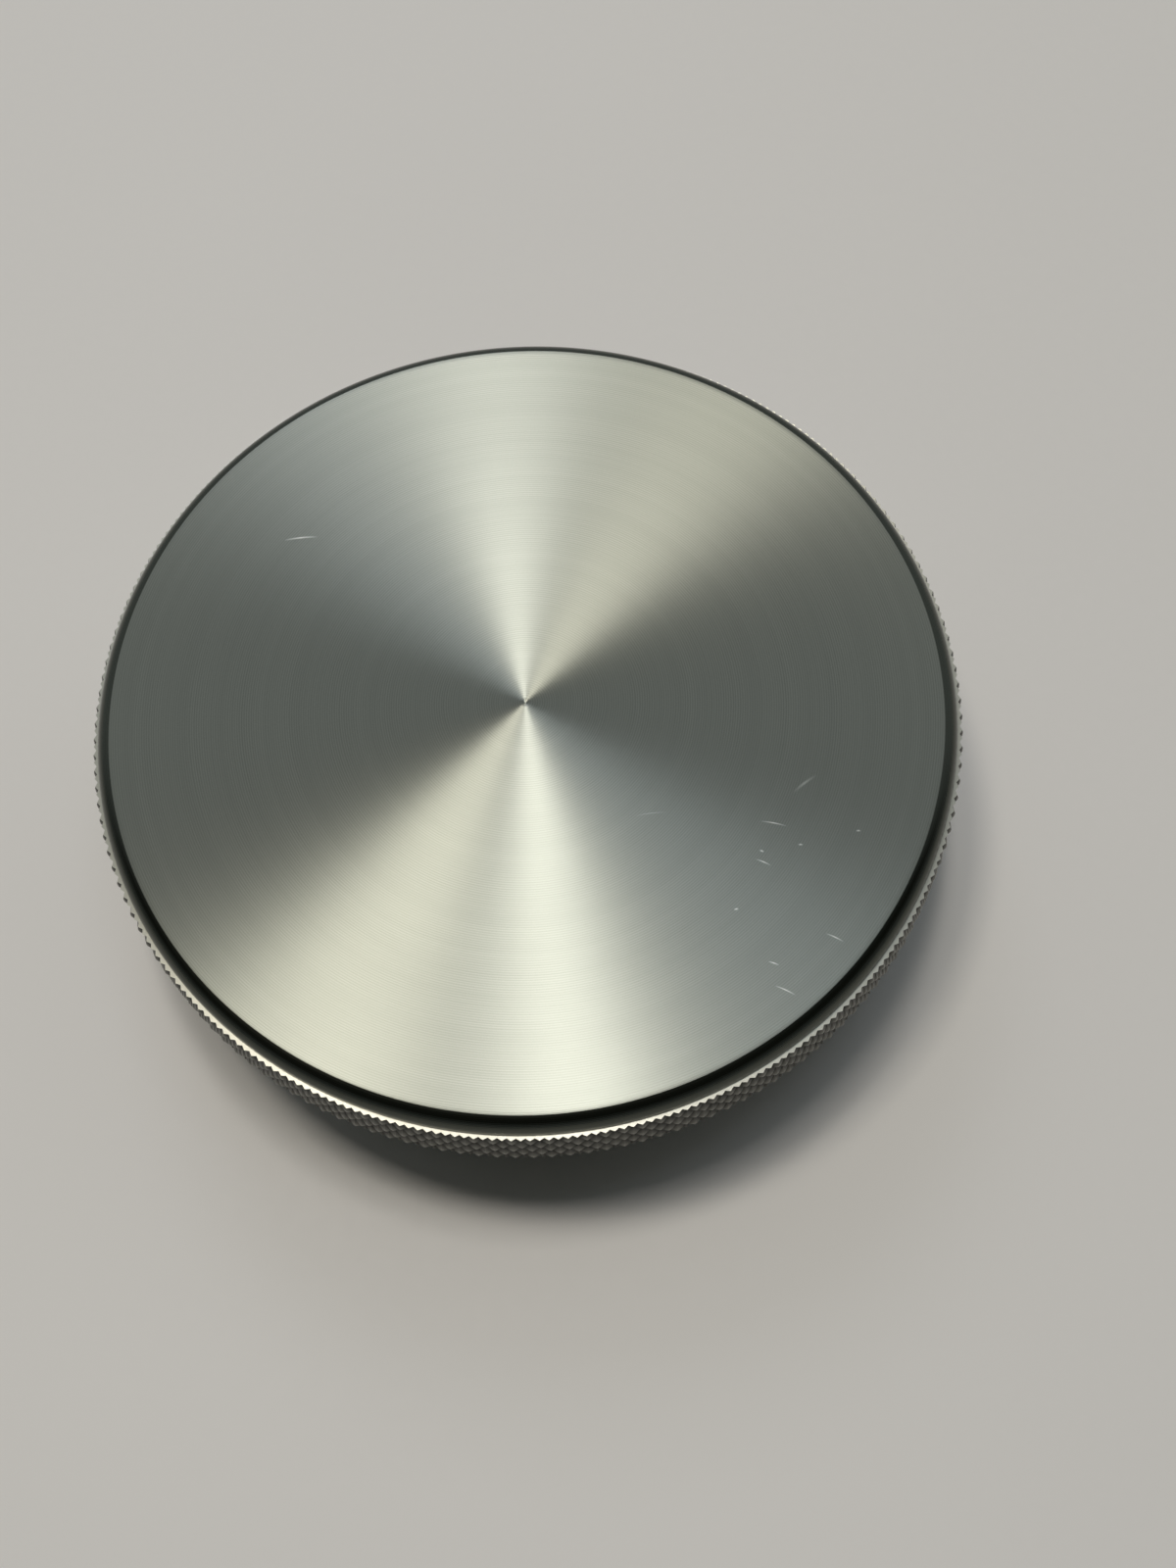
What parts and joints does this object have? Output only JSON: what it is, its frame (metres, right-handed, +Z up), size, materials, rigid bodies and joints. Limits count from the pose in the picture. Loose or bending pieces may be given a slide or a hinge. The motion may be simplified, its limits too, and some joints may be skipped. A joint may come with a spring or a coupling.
{
  "type": "bobbin storage case",
  "caption": "Round turned-aluminium case with a knurled push-fit lid, holding wound sewing-machine bobbins on posts.",
  "frame": {"origin": "centre of the underside, where the base pad meets the surface that the case stands on", "axes": "+Z up along the axis of the cup and the lid; +X from the middle post to the post numbered 2"},
  "size_m": [0.07, 0.07, 0.0189],
  "materials": {
    "lid": "face turned to fine concentric lines, diamond-knurled rim",
    "lid_liner": "fine-grained cork",
    "o_ring": "black nitrile rubber",
    "cup": "turned, fine feed lines",
    "base_pad": "black rubber, fine texture",
    "tray": "black acetal, turned face",
    "tray_screws": "stainless steel",
    "post": "turned, satin",
    "bobbin": "nickel-plated steel",
    "thread_cream": "wound sewing thread",
    "thread_red": "wound sewing thread",
    "thread_navy": "wound sewing thread",
    "thread_mustard": "wound sewing thread",
    "thread_green": "wound sewing thread",
    "thread_black": "wound sewing thread",
    "thread_teal": "wound sewing thread"
  },
  "bodies": {
    "case": {"cup": "cup", "base_pad": "base_pad", "tray": "tray", "tray_screws": "tray_screws", "post_1": "post", "post_2": "post", "post_3": "post", "post_4": "post", "post_5": "post", "post_6": "post", "post_7": "post"},
    "seal": {"o_ring": "o_ring"},
    "lid": {"lid": "lid", "lid_liner": "lid_liner"},
    "spool_1": {"bobbin_1": "bobbin", "thread_1": "thread_cream"},
    "spool_2": {"bobbin_2": "bobbin", "thread_2": "thread_red"},
    "spool_3": {"bobbin_3": "bobbin", "thread_3": "thread_navy"},
    "spool_4": {"bobbin_4": "bobbin", "thread_4": "thread_mustard"},
    "spool_5": {"bobbin_5": "bobbin", "thread_5": "thread_green"},
    "spool_6": {"bobbin_6": "bobbin", "thread_6": "thread_black"},
    "spool_7": {"bobbin_7": "bobbin", "thread_7": "thread_teal"}
  },
  "joints": [
    {"name": "lid_lift", "type": "slide", "parent": "case", "child": "seal", "axis": [0, 0, 1], "range_m": [0, 0.045]},
    {"name": "lid_turn", "type": "hinge", "parent": "seal", "child": "lid", "pos_m": [0, 0, 0.0134], "axis": [0, 0, 1], "continuous": true},
    {"name": "spool_1_spin", "type": "hinge", "parent": "case", "child": "spool_1", "pos_m": [0, 0, 0.0037], "axis": [0, 0, 1], "continuous": true},
    {"name": "spool_2_spin", "type": "hinge", "parent": "case", "child": "spool_2", "pos_m": [0.0206, 0, 0.0037], "axis": [0, 0, 1], "continuous": true},
    {"name": "spool_3_spin", "type": "hinge", "parent": "case", "child": "spool_3", "pos_m": [0.0103, 0.01784, 0.0037], "axis": [0, 0, 1], "continuous": true},
    {"name": "spool_4_spin", "type": "hinge", "parent": "case", "child": "spool_4", "pos_m": [-0.0103, 0.01784, 0.0037], "axis": [0, 0, 1], "continuous": true},
    {"name": "spool_5_spin", "type": "hinge", "parent": "case", "child": "spool_5", "pos_m": [-0.0206, 0, 0.0037], "axis": [0, 0, 1], "continuous": true},
    {"name": "spool_6_spin", "type": "hinge", "parent": "case", "child": "spool_6", "pos_m": [-0.0103, -0.01784, 0.0037], "axis": [0, 0, 1], "continuous": true},
    {"name": "spool_7_spin", "type": "hinge", "parent": "case", "child": "spool_7", "pos_m": [0.0103, -0.01784, 0.0037], "axis": [0, 0, 1], "continuous": true}
  ]
}
